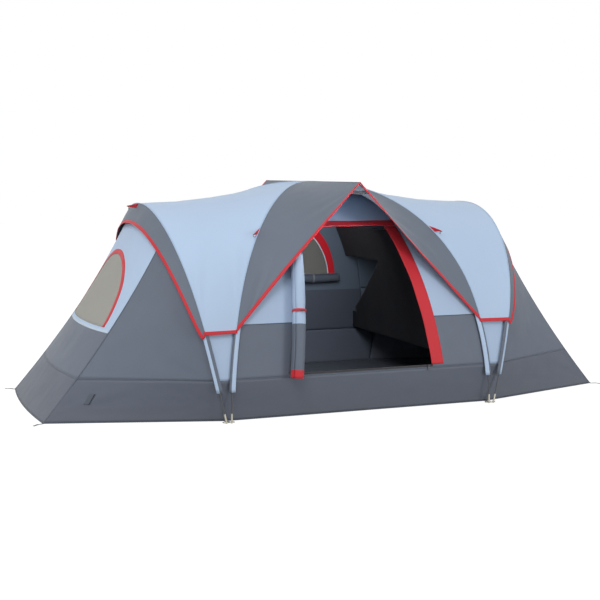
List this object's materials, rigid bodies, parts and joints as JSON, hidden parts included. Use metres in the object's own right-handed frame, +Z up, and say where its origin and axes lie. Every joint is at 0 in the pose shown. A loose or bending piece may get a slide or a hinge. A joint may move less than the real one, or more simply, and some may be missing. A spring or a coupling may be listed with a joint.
{
  "type": "tunnel and dome tent",
  "caption": "Pole tent with crossed dome poles, leaning side hoops, a rain roof with awnings over both long sides, a rolled door and end rooms.",
  "frame": {"origin": "on the ground under the crossing of the dome poles", "axes": "+X along the tent from the left to the right end room as seen by someone facing the door, +Y from the door to the rear, +Z up"},
  "size_m": [4.7034, 2.3923, 1.6816],
  "materials": {
    "floor_cloth": "coated weave",
    "dark_cloth": "coated polyester weave",
    "light_cloth": "coated polyester weave",
    "netting": "insect netting",
    "red_trim": "grosgrain tape",
    "black_cloth": "thin polyester",
    "zip": "moulded coil",
    "fibreglass": "pultruded rod",
    "steel": "zinc plated",
    "plastic": "moulded",
    "webbing": "woven strap"
  },
  "bodies": {
    "tent": {"awning_front": "dark_cloth", "awning_rear": "dark_cloth", "bathtub_ends": "dark_cloth", "bathtub_front": "dark_cloth", "bathtub_rear": "dark_cloth", "bathtub_slopes": "dark_cloth", "cable_port_flap": "dark_cloth", "ceiling": "light_cloth", "dividers": "black_cloth", "dome_pole_lower": "fibreglass", "dome_pole_upper": "fibreglass", "door_head_tape": "red_trim", "door_hinge_tape": "dark_cloth", "door_sill": "dark_cloth", "door_sill_zip": "zip", "door_storm_flap": "red_trim", "end_walls": "light_cloth", "end_window_meshes": "netting", "end_window_tapes": "red_trim", "foot_pins": "steel", "foot_rings": "steel", "foot_webbings": "webbing", "front_wall_header": "light_cloth", "front_wall_left": "light_cloth", "front_wall_right": "light_cloth", "groundsheet": "floor_cloth", "guy_tabs": "red_trim", "peak_straps": "webbing", "peg_eyelets": "steel", "peg_loops": "webbing", "pole_clips": "plastic", "pole_ferrules": "steel", "pole_sleeves": "light_cloth", "pole_tips": "steel", "rear_roll_ties": "webbing", "rear_wall": "light_cloth", "rear_window_mesh": "netting", "rear_window_roll": "dark_cloth", "rear_window_tape": "red_trim", "ridge_pole": "fibreglass", "ridge_pole_caps": "plastic", "roof_bands": "dark_cloth", "roof_edge_tape": "red_trim", "roof_panel_left": "light_cloth", "roof_panel_right": "light_cloth", "side_hoop_left": "fibreglass", "side_hoop_right": "fibreglass", "slope_walls": "dark_cloth", "wedge_panels": "light_cloth"},
    "door_roll": {"door_roll": "light_cloth", "door_roll_tie": "red_trim", "door_tie_toggle": "plastic"},
    "sill_slider": {"sill_slider": "steel"},
    "sill_pull": {"sill_pull": "steel"},
    "guy_ring_front_left": {"guy_ring_front_left": "plastic"},
    "guy_ring_front_right": {"guy_ring_front_right": "plastic"},
    "guy_ring_rear_left": {"guy_ring_rear_left": "plastic"},
    "guy_ring_rear_right": {"guy_ring_rear_right": "plastic"},
    "guy_ring_left": {"guy_ring_left": "plastic"},
    "guy_ring_right": {"guy_ring_right": "plastic"}
  },
  "joints": [
    {"name": "door_roll_swing", "type": "hinge", "parent": "tent", "child": "door_roll", "pos_m": [-0.5655, -1.0525, 0.7116], "axis": [-0.0966, -0.275, -0.9566], "range_deg": [0, 17]},
    {"name": "sill_zip_slide", "type": "slide", "parent": "tent", "child": "sill_slider", "axis": [-1, 0, 0], "range_m": [0, 1]},
    {"name": "sill_pull_swing", "type": "hinge", "parent": "sill_slider", "child": "sill_pull", "pos_m": [0.52, -1.1318, 0.317], "axis": [-1, 0, 0], "range_deg": [-2, 150]},
    {"name": "guy_ring_front_left_swing", "type": "hinge", "parent": "tent", "child": "guy_ring_front_left", "pos_m": [-0.75593, -0.84073, 1.30925], "axis": [-0.7436, 0.6686, 0], "range_deg": [-35, 50]},
    {"name": "guy_ring_front_right_swing", "type": "hinge", "parent": "tent", "child": "guy_ring_front_right", "pos_m": [0.75593, -0.84073, 1.30925], "axis": [-0.7436, -0.6686, 0], "range_deg": [-35, 50]},
    {"name": "guy_ring_rear_left_swing", "type": "hinge", "parent": "tent", "child": "guy_ring_rear_left", "pos_m": [-0.75593, 0.84073, 1.30925], "axis": [0.7436, 0.6686, 0], "range_deg": [-35, 50]},
    {"name": "guy_ring_rear_right_swing", "type": "hinge", "parent": "tent", "child": "guy_ring_rear_right", "pos_m": [0.75593, 0.84073, 1.30925], "axis": [0.7436, -0.6686, 0], "range_deg": [-35, 50]},
    {"name": "guy_ring_left_swing", "type": "hinge", "parent": "tent", "child": "guy_ring_left", "pos_m": [-1.4815, 0, 1.49224], "axis": [0, 1, 0], "range_deg": [-30, 45]},
    {"name": "guy_ring_right_swing", "type": "hinge", "parent": "tent", "child": "guy_ring_right", "pos_m": [1.4815, 0, 1.49224], "axis": [0, -1, 0], "range_deg": [-30, 45]}
  ]
}
